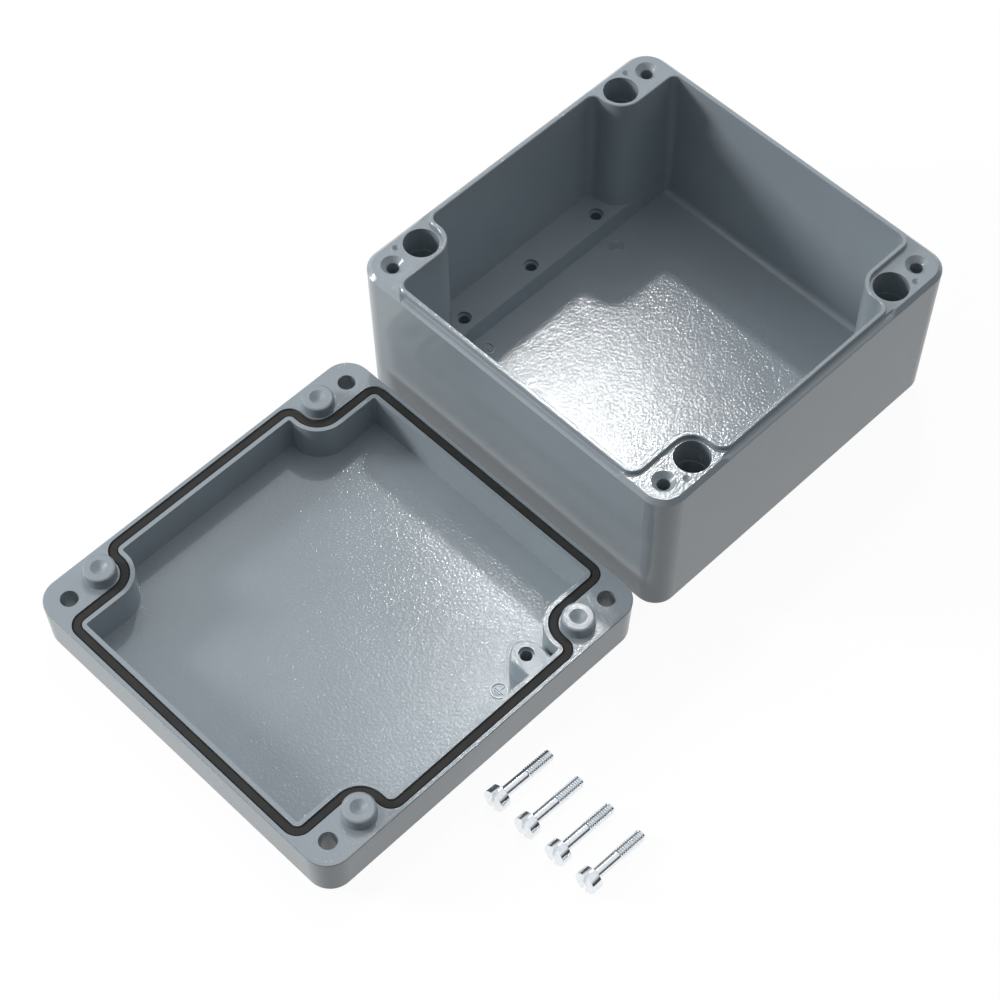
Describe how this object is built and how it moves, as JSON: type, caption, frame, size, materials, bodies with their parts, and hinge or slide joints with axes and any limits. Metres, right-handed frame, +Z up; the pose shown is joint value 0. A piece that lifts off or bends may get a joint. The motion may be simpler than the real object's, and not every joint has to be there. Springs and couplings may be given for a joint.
{
  "type": "die-cast enclosure",
  "caption": "Square die-cast aluminium enclosure taken apart: a deep base with corner wells and a seal tongue, a gasketed lid lying upside down, and its loose lid screws.",
  "frame": {"origin": "centre of the base's underside, on the floor", "axes": "+Z up out of the open base; +Y from the lid towards the base; +X towards the loose screws, across the ledges"},
  "size_m": [0.2244, 0.3265, 0.072],
  "materials": {
    "base_casting": "silver-grey coated die casting, semi-gloss, fine cast texture",
    "lid_casting": "silver-grey coated die casting, semi-gloss, fine cast texture",
    "gasket_rubber": "matt black",
    "screw_plating": "bright plating"
  },
  "bodies": {
    "root": {"base": "base_casting", "lid": "lid_casting", "gasket": "gasket_rubber", "lid_screw_1": "screw_plating", "lid_screw_2": "screw_plating", "lid_screw_3": "screw_plating", "lid_screw_4": "screw_plating"}
  },
  "joints": []
}
